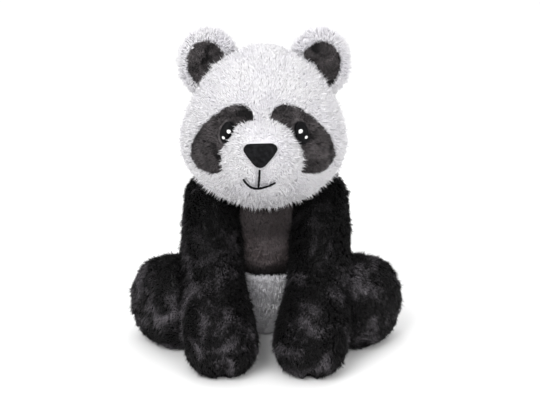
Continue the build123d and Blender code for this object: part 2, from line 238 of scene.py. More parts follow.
def plush(name, low, high, scale, stops, roughness, sheen, bands=()):
    """Pile: cloudy dyed colour with a fine grain.

    The bands, pairs of a height and a brightness, paint light and shade on it by height.
    """
    material, tree, shader = new_material(name)
    noise, ramp = noise_ramp(tree, scale, CLOUD_DETAIL, low, high, stops)
    noise.inputs["Roughness"].default_value = 0.55
    noise.inputs["Distortion"].default_value = 0.6
    grain = tree.nodes.new("ShaderNodeTexNoise")
    grain.inputs["Scale"].default_value = GRAIN_SCALE
    blend = tree.nodes.new("ShaderNodeMath")
    blend.operation = "MULTIPLY_ADD"
    blend.inputs[1].default_value = GRAIN_STRENGTH
    tree.links.new(noise.inputs["Vector"].links[0].from_socket, grain.inputs["Vector"])
    tree.links.new(grain.outputs["Fac"], blend.inputs[0])
    tree.links.new(noise.outputs["Fac"], blend.inputs[2])
    tree.links.new(blend.outputs["Value"], ramp.inputs["Fac"])
    colour = ramp.outputs["Color"]
    # painted light and shade, by height
    if bands:
        colour = shaded_by_height(tree, colour, noise, bands)
    tree.links.new(colour, shader.inputs["Base Color"])
    shader.inputs["Roughness"].default_value = roughness
    shader.inputs["Specular IOR Level"].default_value = 0.25
    shader.inputs["Sheen Weight"].default_value = sheen
    shader.inputs["Sheen Roughness"].default_value = 0.45
    return material


def shaded_by_height(tree, colour, noise, bands):
    """Paints light and shade into a colour: multiplies it by a brightness that changes with height, with a
    wandering edge.
    """
    split = tree.nodes.new("ShaderNodeSeparateXYZ")
    coordinate = tree.nodes.new("ShaderNodeTexCoord")
    tree.links.new(coordinate.outputs["Object"], split.inputs["Vector"])
    wander = tree.nodes.new("ShaderNodeMath")
    wander.operation = "MULTIPLY_ADD"
    wander.inputs[1].default_value = BAND_WANDER
    tree.links.new(noise.outputs["Fac"], wander.inputs[0])
    tree.links.new(split.outputs["Z"], wander.inputs[2])
    low, high = bands[0][0], bands[-1][0]
    place = tree.nodes.new("ShaderNodeMapRange")
    place.inputs["From Min"].default_value = low + BAND_WANDER / 2
    place.inputs["From Max"].default_value = high + BAND_WANDER / 2
    tree.links.new(wander.outputs["Value"], place.inputs["Value"])
    ramp = tree.nodes.new("ShaderNodeValToRGB")
    while len(ramp.color_ramp.elements) < len(bands):
        ramp.color_ramp.elements.new(0.5)
    for element, (height, bright) in zip(ramp.color_ramp.elements, bands):
        element.position = (height - low) / (high - low)
        element.color = (bright, bright, bright, 1)
    tree.links.new(place.outputs["Result"], ramp.inputs["Fac"])
    mix = tree.nodes.new("ShaderNodeMix")
    mix.data_type = "RGBA"
    mix.blend_type = "MULTIPLY"
    mix.inputs["Factor"].default_value = 1
    tree.links.new(colour, mix.inputs["A"])
    tree.links.new(ramp.outputs["Color"], mix.inputs["B"])
    return mix.outputs["Result"]


def thread(name, low, high, roughness):
    """Twisted embroidery thread: fine diagonal plies and a dull shine."""
    material, tree, shader = new_material(name)
    coordinate = tree.nodes.new("ShaderNodeTexCoord")
    plies = tree.nodes.new("ShaderNodeTexWave")
    plies.bands_direction = "DIAGONAL"
    plies.inputs["Scale"].default_value = 900
    plies.inputs["Distortion"].default_value = 1.5
    tree.links.new(coordinate.outputs["Object"], plies.inputs["Vector"])
    ramp = tree.nodes.new("ShaderNodeValToRGB")
    ramp.color_ramp.elements[0].color = (*low, 1)
    ramp.color_ramp.elements[1].color = (*high, 1)
    tree.links.new(plies.outputs["Fac"], ramp.inputs["Fac"])
    tree.links.new(ramp.outputs["Color"], shader.inputs["Base Color"])
    shader.inputs["Roughness"].default_value = roughness
    shader.inputs["Specular IOR Level"].default_value = 0.08
    add_bump(tree, shader, plies.outputs["Fac"], strength=0.5, distance=0.2 * MM)
    return material


def suede(name, low, high):
    """Black suede: a fine nap with cloudy lighter patches."""
    material, tree, shader = new_material(name)
    ramp = noise_ramp(tree, 260, 8, low, high, stops=(0.35, 0.75))[1]
    tree.links.new(ramp.outputs["Color"], shader.inputs["Base Color"])
    shader.inputs["Roughness"].default_value = 0.85
    shader.inputs["Specular IOR Level"].default_value = 0.08
    shader.inputs["Sheen Weight"].default_value = 0.02
    nap = tree.nodes.new("ShaderNodeTexNoise")
    nap.inputs["Scale"].default_value = 3200
    coordinate = tree.nodes.new("ShaderNodeTexCoord")
    tree.links.new(coordinate.outputs["Object"], nap.inputs["Vector"])
    add_bump(tree, shader, nap.outputs["Fac"], strength=0.6, distance=0.3 * MM)
    return material


def cloth(name, low, high, scale):
    """Plain woven cloth for the linings and the parts inside."""
    material, tree, shader = new_material(name)
    coordinate = tree.nodes.new("ShaderNodeTexCoord")
    weave = tree.nodes.new("ShaderNodeTexChecker")
    weave.inputs["Color1"].default_value = (*low, 1)
    weave.inputs["Color2"].default_value = (*high, 1)
    weave.inputs["Scale"].default_value = scale
    tree.links.new(coordinate.outputs["Object"], weave.inputs["Vector"])
    tree.links.new(weave.outputs["Color"], shader.inputs["Base Color"])
    shader.inputs["Roughness"].default_value = 0.9
    add_bump(tree, shader, weave.outputs["Fac"], strength=0.4, distance=0.2 * MM)
    return material


# Pairs of a height and a brightness, painted onto the pile as light and shade.
# The chest carries painted shade: darker under the overhanging chin, and a near-black band at its lower edge.
CHEST_PAINTED_SHADE = ((0.064, 0.15), (0.072, 0.35), (0.077, 1.3), (0.096, 1.1), (0.106, 0.55), (0.150, 0.5))
# Painted light and shade on the dark fur: lightest low down, a painted highlight where light falls on the paws and
# feet, and darker higher up.
DARK_PAINTED_LIGHT = ((0.0, 1.1), (0.020, 1.6), (0.070, 1.4), (0.105, 0.6), (0.150, 0.5))
MATERIALS = {
    "white_plush": plush(
        "white_plush", low=(0.86, 0.845, 0.885), high=(0.93, 0.92, 0.94), scale=45, stops=(0.45, 0.75),
        roughness=0.8, sheen=0.1,
    ),
    # The dark fur has painted light and shade by height.
    "dark_plush": plush(
        "dark_plush", low=(0.0022, 0.0019, 0.0022), high=(0.15, 0.138, 0.152), scale=36, stops=(0.66, 0.95),
        roughness=0.55, sheen=0, bands=DARK_PAINTED_LIGHT,
    ),
    "patch_plush": plush(
        "patch_plush", low=(0.007, 0.006, 0.0065), high=(0.175, 0.157, 0.162), scale=50, stops=(0.55, 0.92),
        roughness=0.6, sheen=0,
    ),
    # The chest pile has painted shade by height.
    "chest_plush": plush(
        "chest_plush", low=(0.085, 0.068, 0.068), high=(0.21, 0.18, 0.185), scale=46, stops=(0.44, 0.86),
        roughness=0.65, sheen=0.05, bands=CHEST_PAINTED_SHADE,
    ),
    "polyester_filling": plush(
        "polyester_filling", low=(0.85, 0.85, 0.84), high=(0.95, 0.95, 0.94), scale=90, stops=(0.3, 0.7),
        roughness=0.9, sheen=0.1,
    ),
    "pellets": plush(
        "pellets", low=(0.7, 0.7, 0.7), high=(0.9, 0.9, 0.9), scale=400, stops=(0.45, 0.55),
        roughness=0.4, sheen=0,
    ),
    "black_thread": thread(
        "black_thread", low=(0.002, 0.002, 0.0025), high=(0.006, 0.006, 0.007), roughness=0.3
    ),
    "white_thread": thread("white_thread", low=(0.82, 0.82, 0.82), high=(0.95, 0.95, 0.95), roughness=0.4),
    "nose_suede": suede("nose_suede", low=(0.004, 0.004, 0.0045), high=(0.016, 0.016, 0.018)),
    "pouch_cloth": cloth("pouch_cloth", low=(0.62, 0.6, 0.56), high=(0.8, 0.78, 0.74), scale=900),
    "label_tape": cloth("label_tape", low=(0.82, 0.82, 0.82), high=(0.94, 0.94, 0.94), scale=1800),
}
for node, thing in NODES.items():
    thing.data.materials.clear()
    thing.data.materials.append(MATERIALS[SLOTS[node]])

# ---------------------------------------------------------------- padded forms

SEAM_WIDTH = 3.2 * MM
SEAM_HOLD = 0.02  # points with less of the seam's pull than this are free
PUFF_CAP = 5 * MM
PUFF_FRAMES = 20


def joined(nodes, name):
    """Copies of some CAD nodes as one new object."""
    parts = []
    for node in nodes:
        copy = link(NODES[node].data.copy(), f"{name}_{node}")
        parts.append(copy)
    with bpy.context.temp_override(active_object=parts[0], selected_editable_objects=parts):
        bpy.ops.object.join()
    parts[0].name = name
    return parts[0]


def remeshed(nodes, name, voxel, relax):
    """Some CAD nodes as one even, slightly softened skin."""
    thing = joined(nodes, name)
    remesh = thing.modifiers.new("remesh", "REMESH")
    remesh.mode = "VOXEL"
    remesh.voxel_size = voxel
    soften = thing.modifiers.new("soften", "SMOOTH")
    soften.factor = 0.5
    soften.iterations = relax
    settle(thing)
    return thing


def puff(thing, seam):
    """Cloth under pressure, held along the seams. No point moves further than the cap."""
    start = vertices_of(thing)
    held = thing.vertex_groups.new(name="seam")
    for index in np.nonzero(seam > SEAM_HOLD)[0]:
        held.add([int(index)], float(seam[index]), "REPLACE")
    fabric = thing.modifiers.new("cloth", "CLOTH")
    fabric.settings.quality = 5
    fabric.settings.mass = 0.3
    fabric.settings.tension_stiffness = 20
    fabric.settings.compression_stiffness = 20
    fabric.settings.bending_stiffness = 1.2
    fabric.settings.use_pressure = True
    fabric.settings.uniform_pressure_force = 4
    fabric.settings.vertex_group_mass = "seam"
    fabric.settings.effector_weights.gravity = 0
    fabric.collision_settings.use_collision = False
    fabric.point_cache.frame_start = 1
    fabric.point_cache.frame_end = PUFF_FRAMES
    for step in range(1, PUFF_FRAMES + 1):
        bpy.context.scene.frame_set(step)
    settle(thing)
    moved = vertices_of(thing) - start
    length = np.linalg.norm(moved, axis=1, keepdims=True)
    moved *= np.minimum(1, PUFF_CAP / np.maximum(length, 1e-9))
    move_vertices(thing, start + moved)
    bpy.context.scene.frame_set(1)


def padded_form(
    name, body, covers, nodes, fuller, reshape=None, voxel=4 * MM, relax=4, seam_depth=2.4 * MM
):
    """A closed, stuffed form that stands for some CAD nodes.

    It is grown outwards by "fuller", drawn in along its seams and given its hand-made shape by
    "reshape". Each point remembers where it was drawn, on the CAD pieces.
    """
    thing = remeshed(nodes, name, voxel, relax)
    drawn = vertices_of(thing)
    margin = seam_margin(drawn, covers)
    seam = np.exp(-((margin / SEAM_WIDTH) ** 2))
    remember(thing, "drawn", drawn)
    remember(thing, "margin", margin)
    co = drawn + normals_of(thing) * (fuller - seam_depth * seam[:, None])
    move_vertices(thing, co if reshape is None else reshape(co))
    puff(thing, seam)
    finer = thing.modifiers.new("finer", "SUBSURF")
    finer.levels = 1
    finer.render_levels = 1
    settle(thing)
    co = vertices_of(thing)
    co[:, 2] = np.maximum(co[:, 2], 0)
    move_vertices(thing, co)
    shade_smooth(thing.data)
    paint_by_cover(thing, covers)
    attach(thing, body)
    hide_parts(*nodes)
    return thing


def material_of(cover):
    """A cover's material: the eye patches and ear linings are dyed lighter than the body."""
    return "patch_plush" if cover.endswith(("eye_patch", "ear_lining")) else SLOTS[cover]


def paint_by_cover(thing, covers):
    """Gives each face the material of the cover that it was drawn on."""
    names = sorted({material_of(c) for c in covers})
    thing.data.materials.clear()
    for name in names:
        thing.data.materials.append(MATERIALS[name])
    drawn = recall(thing, "drawn")
    first_corners = [polygon.vertices[0] for polygon in thing.data.polygons]
    owner = nearest_cover(drawn[first_corners], combined_tree(covers))
    index = np.array([names.index(material_of(c)) for c in covers])[owner]
    thing.data.polygons.foreach_set("material_index", index.astype(np.int32))


# ---------------------------------------------------------------- fur

# long, wide: the size of a lock
# dense: locks per square millimetre (a form with several furs takes the densest for all of them)
# lay: how far a lock lies over
# tuft, gather: the size of a tuft, and how tightly its tips come together
# stray, loose: how far whole tufts and single locks point away from the combing
# seam: the length of the fur on a seam, as a share of the whole length
# guards: the share of longer hairs that stand up out of the pile
PILES = {
    "white_plush": dict(
        long=7.6 * MM, wide=0.8 * MM, dense=1.45, lay=1.08, tuft=4 * MM, gather=0.06, stray=0.04, loose=0.08,
        seam=1.0, guards=0.07,
    ),
    "dark_plush": dict(
        long=6.5 * MM, wide=0.9 * MM, dense=0.85, lay=0.72, tuft=6 * MM, gather=0.3, stray=0.2, loose=0.16,
        seam=0.55, guards=0.12,
    ),
    "chest_plush": dict(
        long=5.5 * MM, wide=0.8 * MM, dense=0.95, lay=0.7, tuft=5 * MM, gather=0.25, stray=0.14, loose=0.14,
        seam=0.4, guards=0.1,
    ),
}
SEAM_BARE = 0.6 * MM
SEAM_FUR = 4.5 * MM
GUARD_LONGER = 1.15
GUARD_LAY = 0.45
MIDDLE_AT = 0.45  # where a lock bends, as a share of its length
LEAN_BELOW, LEAN_ABOVE = 0.7, 1.3  # how much of the lean a lock has below and above its bend
TIP_FLATTEN = 0.8  # how much of the skin's own direction the lay takes from the upper half
TUFT_SWELL, LOCK_SWELL, WIDTH_SWELL = 0.3, 0.4, 0.5  # how much lengths and widths vary
BEND_GATHER = 0.3  # how far a lock's bend follows its gathered tip
BEND_WIDTH = 0.8  # how wide a lock is at its bend, as a share of its root
LOCKS_PER_PIECE = 19000
ROOT_DEPTH = 0.6 * MM
COVER_BLUR = 0.8 * MM  # how far locks stray over the edge of their cover
FLOOR_GAP = 0.2 * MM


def scatter(form, dense):
    """Random root points over a form, with their normals, drawn places and distances from a seam."""
    mesh = form.data
    mesh.calc_loop_triangles()
    corners = np.empty(len(mesh.loop_triangles) * 3, np.int32)
    mesh.loop_triangles.foreach_get("vertices", corners)
    corners = corners.reshape(-1, 3)
    a, b, c = vertices_of(form)[corners].transpose(1, 0, 2)
    area = np.linalg.norm(np.cross(b - a, c - a), axis=1) / 2
    count = int(area.sum() / MM**2 * dense)
    pick = rng.choice(len(area), count, p=area / area.sum())
    u, v = np.sqrt(rng.random(count)), rng.random(count)
    weights = np.stack([1 - u, u * (1 - v), u * v], axis=1)[:, :, None]
    root, normal, drawn, margin = (
        np.sum(field[corners[pick]] * weights, axis=1)
        for field in (vertices_of(form), normals_of(form), recall(form, "drawn"), recall(form, "margin"))
    )
    return root, unit(normal), drawn, margin[:, 0]


def random_tangents(normal):
    """A random direction along the surface at each point."""
    return unit(np.cross(normal, rng.normal(size=normal.shape)))


def varied(count, swell):
    """Random factors round 1 that differ by the swell from end to end."""
    return 1 - swell / 2 + swell * rng.random(count)


def grow(root, normal, comb, style, length, ruffle):
    """The middle and tip of each lock: combed over, straying tuft by tuft, and gathered at the tips."""
    count = len(root)
    tufts = max(1, int(count / style["dense"] * MM**2 / style["tuft"] ** 2))
    heads = rng.choice(count, min(tufts, count), replace=False)
    finder = kdtree.KDTree(len(heads))
    for place, index in enumerate(heads):
        finder.insert(root[index], place)
    finder.balance()
    tuft = np.array([finder.find(p)[1] for p in root])
    tangent = unit(comb - normal * np.sum(comb * normal, axis=1, keepdims=True))
    stray = random_tangents(normal[heads]) * rng.random((len(heads), 1)) * style["stray"] * 2
    swell = varied(len(heads), TUFT_SWELL)[tuft] * varied(count, LOCK_SWELL)
    guard = rng.random((count, 1)) < style["guards"]
    length = (length * swell)[:, None] * np.where(guard, GUARD_LONGER, 1)
    lay = style["lay"] * np.where(guard, GUARD_LAY, 1)
    lean = tangent * lay + stray[tuft] * ruffle[:, None] + random_tangents(normal) * style["loose"]
    first = unit(normal + lean * LEAN_BELOW)
    last = unit(normal * (1 - lay * TIP_FLATTEN) + lean * LEAN_ABOVE)
    mid = root + first * length * MIDDLE_AT
    tip = mid + last * length * (1 - MIDDLE_AT)
    lead = heads[tuft]
    apart = np.linalg.norm(root - root[lead], axis=1, keepdims=True)
    near = np.clip(1 - apart / (2 * style["tuft"]), 0, 1) * style["gather"]
    return mid + (mid[lead] - mid) * near * BEND_GATHER, tip + (tip[lead] - tip) * near


def lock_mesh(name, root, normal, mid, tip, wide):
    """Closed three-sided locks, one per root, in a single mesh."""
    count = len(root)
    side = random_tangents(normal)
    other = np.cross(normal, side)
    turn = np.arange(3) * 2 * math.pi / 3
    ring = np.cos(turn)[:, None] * side[:, None, :] + np.sin(turn)[:, None] * other[:, None, :]
    wide = (wide * varied(count, WIDTH_SWELL))[:, None, None] / 2
    points = np.empty((count, 7, 3))
    points[:, 0:3] = (root - normal * ROOT_DEPTH)[:, None, :] + ring * wide
    points[:, 3:6] = mid[:, None, :] + ring * wide * BEND_WIDTH
    points[:, 6] = tip
    points[:, :, 2] = np.maximum(points[:, :, 2], FLOOR_GAP)
    one_lock = [(2, 1, 0), (0, 1, 4, 3), (1, 2, 5, 4), (2, 0, 3, 5), (3, 4, 6), (4, 5, 6), (5, 3, 6)]
    faces = np.concatenate(one_lock)
    starts = np.cumsum([0] + [len(face) for face in one_lock[:-1]])
    corner = (np.arange(count)[:, None] * 7 + faces).ravel().astype(np.int32)
    start = (np.arange(count)[:, None] * len(faces) + starts).ravel().astype(np.int32)
    mesh = bpy.data.meshes.new(name)
    mesh.vertices.add(count * 7)
    mesh.vertices.foreach_set("co", points.astype(np.float32).ravel())
    mesh.loops.add(len(corner))
    mesh.loops.foreach_set("vertex_index", corner)
    mesh.polygons.add(len(start))
    mesh.polygons.foreach_set("loop_start", start)
    mesh.update(calc_edges=True)
    shade_smooth(mesh)
    give_cells(mesh, count, faces)
    return mesh


def give_cells(mesh, count, faces):
    """A ready unwrap: every lock has its own small cell of the map."""
    rows = math.ceil(math.sqrt(count))
    left, centre, right = 0.15, 0.5, 0.85
    root, bend, tip = 0.1, 0.5, 0.9
    across = np.array([left, centre, right, left, centre, right, centre])[faces]
    up = np.array([root, root, root, bend, bend, bend, tip])[faces]
    cell = np.arange(count)
    u = ((cell % rows)[:, None] + across) / rows
    v = ((cell // rows)[:, None] + up) / rows
    layer = mesh.uv_layers.new(name="OFBake")
    layer.data.foreach_set("uv", np.stack([u.ravel(), v.ravel()], axis=1).astype(np.float32).ravel())


def furnish(form, body, covers, comb, length_of=None, keep=None, ruffle_of=None, lay=None):
    """Grows the fur of one form: for each of its covers, one piece, or more where the locks are many."""
    root, normal, drawn, margin = scatter(form, max(PILES[SLOTS[c]]["dense"] for c in covers))
    if keep is not None:
        kept = keep(drawn)
        root, normal, drawn, margin = root[kept], normal[kept], drawn[kept], margin[kept]
    jitter = random_tangents(normal) * rng.normal(size=(len(root), 1)) * COVER_BLUR
    owner = nearest_cover(drawn + jitter, combined_tree(covers))
    for slot in sorted({SLOTS[c] for c in covers}):
        style = dict(PILES[slot])
        if lay is not None:
            style["lay"] = lay
        mine = np.array([SLOTS[c] == slot for c in covers])[owner]
        r, n, d = root[mine], normal[mine], drawn[mine]
        scale = rising(style["seam"], (margin[mine] - SEAM_BARE) / SEAM_FUR)
        if length_of is not None:
            scale = scale * length_of(d)
        ruffle = np.ones(len(r)) if ruffle_of is None else ruffle_of(d)
        mid, tip = grow(r, n, comb(d, n), style, style["long"] * scale, ruffle)
        for index, cover in enumerate(covers):
            own = np.nonzero(owner[mine] == index)[0]
            if SLOTS[cover] != slot or len(own) == 0:
                continue
            pieces = math.ceil(len(own) / LOCKS_PER_PIECE)
            for part, some in enumerate(np.array_split(own, pieces)):
                fur_name = f"{cover}_pile_{part + 1}" if pieces > 1 else f"{cover}_pile"
                mesh = lock_mesh(fur_name, r[some], n[some], mid[some], tip[some], style["wide"])
                mesh.materials.append(MATERIALS[material_of(cover)])
                fur = link(mesh, fur_name)
                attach(fur, body)


def nodes_of(body):
    """All the CAD nodes of a body."""
    return list(BODIES[body])


def covers_of(body):
    """A body's fur-covered nodes."""
    return [n for n in BODIES[body] if SLOTS[n] in PILES]


# ---------------------------------------------------------------- head

NECK = pivot("neck_nod")
NECK_RADIUS = span("neck_stuffing")[0] / 2
HEAD = middle("head_stuffing")
HEAD_HALF = span("head_stuffing") / 2
NOSE = middle("nose")
CROWN = HEAD + np.array([0, -0.1, 1]) * HEAD_HALF[2]
JAW_DROP = 10 * MM
CROWN_DROP = 3 * MM
JAW_WIDER = 0.11
JAW_HIGH, JAW_SPREAD = -0.45, 0.42  # where the jaw is widest, in half-heights from the middle
CROWN_NARROWER = 0.11
HEAD_FULLER = 0.5 * MM
HEAD_TURN = math.radians(-1.2)
HEAD_SHIFT = -2.3 * MM
MUZZLE_FUR = 0.6  # the length of the fur beside the nose, as a share of the whole
FEATURE_FUR = 0.45  # and where it meets the eyes, nose and mouth
BROW_SHORTER = 0.35
FACE_TREES = [CAD_TREES[n] for n in ("nose", "mouth_stitching", "left_eye", "right_eye")]


def hand_set(co):
    """The head was sewn on slightly off the middle, and looks a little to one side."""
    x, y = co[:, 0] - HEAD[0], co[:, 1] - HEAD[1]
    co = co.copy()
    co[:, 0] = HEAD[0] + x * math.cos(HEAD_TURN) - y * math.sin(HEAD_TURN) + HEAD_SHIFT
    co[:, 1] = HEAD[1] + x * math.sin(HEAD_TURN) + y * math.cos(HEAD_TURN)
    return co


def fuller_jaw(co):
    """Pear shape: the jaw hangs lower, the crown is flatter and narrower than the cheeks."""
    high = (co[:, 2] - HEAD[2]) / HEAD_HALF[2]
    co = co.copy()
    co[:, 2] -= JAW_DROP * smoothstep((0.25 - high) / 1.1) + CROWN_DROP * smoothstep(high)
    jaw = JAW_WIDER * np.exp(-(((high - JAW_HIGH) / JAW_SPREAD) ** 2))
    co[:, 0] *= 1 + jaw - CROWN_NARROWER * smoothstep((high + 0.2) / 0.75)
    return hand_set(co)


def head_comb(points, normals):
    """The fur of the head runs outwards from the nose and a little down."""
    return unit(points - NOSE) + np.array([0, 0, -0.25])


def outside_neck(points):
    """True outside the neck ball."""
    return np.linalg.norm(points - NECK, axis=1) > NECK_RADIUS + 2 * MM


def near_features(points):
    """The distance to the nearest sewn-on feature of the face."""
    return np.min([distance_to(tree, points) for tree in FACE_TREES], axis=0)


def head_keep(points):
    """Bare where the nose, mouth and eyes are sewn on, and inside the neck."""
    return outside_neck(points) & (near_features(points) > 0.4 * MM)


def head_length(points):
    """Shorter on the muzzle, on the brow and round the features."""
    from_nose = np.linalg.norm(points - NOSE, axis=1)
    muzzle = rising(MUZZLE_FUR, (from_nose - 15 * MM) / (22 * MM))
    features = rising(FEATURE_FUR, near_features(points) / (7 * MM))
    forward = smoothstep((HEAD[1] - points[:, 1]) / (45 * MM))
    above = smoothstep((points[:, 2] - HEAD[2]) / (20 * MM))
    return muzzle * features * (1 - BROW_SHORTER * forward * above)


def head_ruffle(points):
    """Tousled on the crown and smooth elsewhere."""
    return 1 + 1.6 * smoothstep(1.2 - np.linalg.norm(points - CROWN, axis=1) / (20 * MM))


def build_head():
    covers = covers_of("head")
    nodes = covers + ["head_stuffing", "muzzle_stuffing"]
    form = padded_form("head_cloth", "head", covers, nodes, HEAD_FULLER, fuller_jaw)
    furnish(form, "head", covers, head_comb, head_length, head_keep, head_ruffle)
    return form


# ---------------------------------------------------------------- face

NOSE_WIDE = 29.5 * MM
NOSE_TALL = 24 * MM
NOSE_PLACE = np.array([-1.0, 0, 0]) * MM
MOUTH_PLACE = np.array([-3.0, 0, 0]) * MM
EYE_PLACE = np.array([2.6, 0, -1.8]) * MM
EYE_WIDE = 12.5 * MM
EYE_TALL = 21.5 * MM
EYE_LEAN = math.radians(12)
SMILE_HALF = 13.8 * MM
SMILE_DROP = 8.5 * MM
SMILE_STEPS = 40
LIP_LINE = 20 * MM
LIP_STEPS = 20
THREAD = 1.15 * MM
CORD_SIDES = 8
CORD_WAIST, CORD_END = 0.78, 0.55  # its width at a needle hole and at its ends, as shares of the whole
STEPS_PER_STITCH = 4
BACK_DEPTH = 1.5 * MM  # how far a feature's closed back lies inside the skin
RIDGE_PITCH = 0.8 * MM
NOSE_CORNERS = ((-1, 0.62), (1, 0.62), (0, -1))
NOSE_ROUNDING = 0.42
NOSE_WRAP = 0.55  # how closely the nose pad follows the muzzle
# Across from the middle of the eye towards the other eye, up, and the radius of each white spot
EYE_SPOTS = ((1.6 * MM, 2.6 * MM, 2.0 * MM), (-1.9 * MM, -4.2 * MM, 1.5 * MM))


class Seat:
    """A place on a form's skin with axes to the right, up and outwards, to draw features in."""

    def __init__(self, tree, drawn, lean=0.0):
        place, normal = tree.find_nearest(fuller_jaw(np.array([drawn]))[0])[:2]
        self.tree = tree
        self.place = np.array(place)
        self.out = np.array(normal)
        right = unit(np.cross([0, 0, 1.0], self.out))
        up = np.cross(self.out, right)
        self.right = right * math.cos(lean) + up * math.sin(lean)
        self.up = up * math.cos(lean) - right * math.sin(lean)

    def at(self, across, up, lift, wrap=1.0):
        """The point at a place of the feature, lifted off the skin; wrap says how closely it follows."""
        flat = self.place + self.right * across + self.up * up
        skin, normal = self.tree.find_nearest(flat)[:2]
        point = flat * (1 - wrap) + np.array(skin) * wrap
        return point + unit(self.out * (1 - wrap) + np.array(normal) * wrap) * lift


def dome_mesh(name, seat, outline, lift, rise, ridge, wrap, rings=12):
    """A domed patch inside an outline, with ridges of thread and a closed back."""
    sections = len(outline)
    points = [seat.at(0, 0, -BACK_DEPTH, wrap)]
    points += [seat.at(x, y, -BACK_DEPTH, wrap) for x, y in outline]
    for ring in range(rings):
        reach = 1 - ring / rings
        high = lift + rise * (1 - reach**2.6) ** 0.6
        for x, y in outline:
            high_here = high + ridge * abs(math.sin(math.pi * y * reach / RIDGE_PITCH))
            points.append(seat.at(x * reach, y * reach, high_here, wrap))
    points.append(seat.at(0, 0, lift + rise, wrap))
    faces = [(0, 1 + (k + 1) % sections, 1 + k) for k in range(sections)]
    faces += tube_faces(1, rings, sections)
    low = 1 + rings * sections
    faces += [(low + k, low + (k + 1) % sections, len(points) - 1) for k in range(sections)]
    return mesh_from(name, points, faces)


def tube_faces(first, rows, sections):
    """The faces between rows of points that each run once round."""
    faces = []
    for row in range(rows):
        low = first + row * sections
        for k in range(sections):
            j = (k + 1) % sections
            faces.append((low + k, low + j, low + sections + j, low + sections + k))
    return faces


def mesh_from(name, points, faces):
    """A smooth mesh from points and faces."""
    mesh = bpy.data.meshes.new(name)
    mesh.from_pydata([tuple(p) for p in points], [], faces)
    mesh.update()
    shade_smooth(mesh)
    return mesh


def dress(mesh, name, slot, body, *nodes):
    """Puts a finished feature on its body in place of its CAD nodes."""
    mesh.materials.append(MATERIALS[slot])
    thing = link(mesh, name)
    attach(thing, body)
    if nodes:
        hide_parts(*nodes)
    return thing


def oval_outline(wide, tall, count=36):
    """Points round an oval."""
    turns = [2 * math.pi * k / count for k in range(count)]
    return [(wide / 2 * math.cos(t), tall / 2 * math.sin(t)) for t in turns]


def nose_outline(count=48):
    """Points round a triangle that stands on its tip, with softly rounded corners.

    Each point lies where a line at its own slant just touches the rounded triangle.
    """
    step = 2 * math.pi / count
    reach = []
    for k in range(count):
        across, up = math.cos(k * step), math.sin(k * step)
        furthest = max(x * across + y * up for x, y in NOSE_CORNERS)
        reach.append(furthest * (1 - NOSE_ROUNDING) + NOSE_ROUNDING)
    outline = []
    for k in range(count):
        across, up = math.cos(k * step), math.sin(k * step)
        slope = (reach[(k + 1) % count] - reach[k - 1]) / (2 * step)
        x = reach[k] * across - slope * up
        y = reach[k] * up + slope * across
        outline.append((x * NOSE_WIDE / 2, y * NOSE_TALL / 2))
    return outline


def stitched_line(name, seat, path, lift):
    """A line of stitches: a cord that narrows wherever the needle goes in."""
    points = []
    places = [seat.at(x, y, lift) for x, y in path]
    for k, place in enumerate(places):
        ahead = places[min(k + 1, len(places) - 1)]
        behind = places[max(k - 1, 0)]
        run = unit(ahead - behind)
        side = unit(np.cross(run, seat.out))
        up = np.cross(side, run)
        tapered = CORD_END if k in (0, len(places) - 1) else 1
        waist = abs(math.cos(math.pi * k / STEPS_PER_STITCH))
        radius = THREAD * (CORD_WAIST + (1 - CORD_WAIST) * waist) * tapered
        for corner in range(CORD_SIDES):
            t = 2 * math.pi * corner / CORD_SIDES
            points.append(place + (side * math.cos(t) + up * math.sin(t)) * radius)
    faces = tube_faces(0, len(places) - 1, CORD_SIDES)
    faces.append(tuple(reversed(range(CORD_SIDES))))
    faces.append(tuple(range(len(points) - CORD_SIDES, len(points))))
    return mesh_from(name, points, faces)


def build_nose(tree):
    seat = Seat(tree, NOSE + NOSE_PLACE)
    nose = dome_mesh(
        "nose_pad", seat, nose_outline(), lift=3.2 * MM, rise=4.2 * MM, ridge=0, wrap=NOSE_WRAP
    )
    dress(nose, "nose_pad", "nose_suede", "head", "nose")


def build_mouth(tree):
    """The smile is a shallow curve; the lip line rises from its middle to the nose."""
    seat = Seat(tree, middle("mouth_stitching") + MOUTH_PLACE)
    bottom = -SMILE_DROP / 2
    smile = []
    for k in range(SMILE_STEPS + 1):
        x = SMILE_HALF * (2 * k / SMILE_STEPS - 1)
        smile.append((x, bottom + SMILE_DROP * (x / SMILE_HALF) ** 2))
    top = bottom + LIP_LINE
    line = [(0, top + (bottom - top) * k / LIP_STEPS) for k in range(LIP_STEPS + 1)]
    dress(stitched_line("smile", seat, smile, 4.3 * MM), "smile", "black_thread", "head", "mouth_stitching")
    dress(stitched_line("lip_line", seat, line, 4.1 * MM), "lip_line", "black_thread", "head")


def build_eye(tree, name, side):
    """An embroidered oval with two white spots."""
    cad_eye = middle(f"{name}_eye") + EYE_PLACE
    eye = Seat(tree, cad_eye, side * EYE_LEAN)
    outline = oval_outline(EYE_WIDE, EYE_TALL)
    mesh = dome_mesh("eye", eye, outline, lift=2.8 * MM, rise=2 * MM, ridge=0.1 * MM, wrap=1)
    dress(mesh, f"{name}_eye_satin", "black_thread", "head", f"{name}_eye")
    for number, (inwards, up, radius) in enumerate(EYE_SPOTS):
        seat = Seat(tree, cad_eye, side * EYE_LEAN)
        seat.place = eye.at(-side * inwards, up, 0)
        outline = oval_outline(2 * radius, 2 * radius, 18)
        spot = dome_mesh(
            "spot", seat, outline, lift=4.4 * MM, rise=0.8 * MM, ridge=0.05 * MM, wrap=1, rings=5
        )
        nodes = [f"{name}_eye_glints"] if number == 0 else []
        dress(spot, f"{name}_eye_spot_{number + 1}", "white_thread", "head", *nodes)


def build_face(form):
    tree = tree_of(form)
    build_nose(tree)
    build_mouth(tree)
    for name, side in SIDES.items():
        build_eye(tree, name, side)


# ---------------------------------------------------------------- torso, neck, limbs, ears and tail


def along(direction):
    """A comb field that runs one way."""
    return lambda points, normals: np.tile(unit(np.array(direction, float)), (len(points), 1))


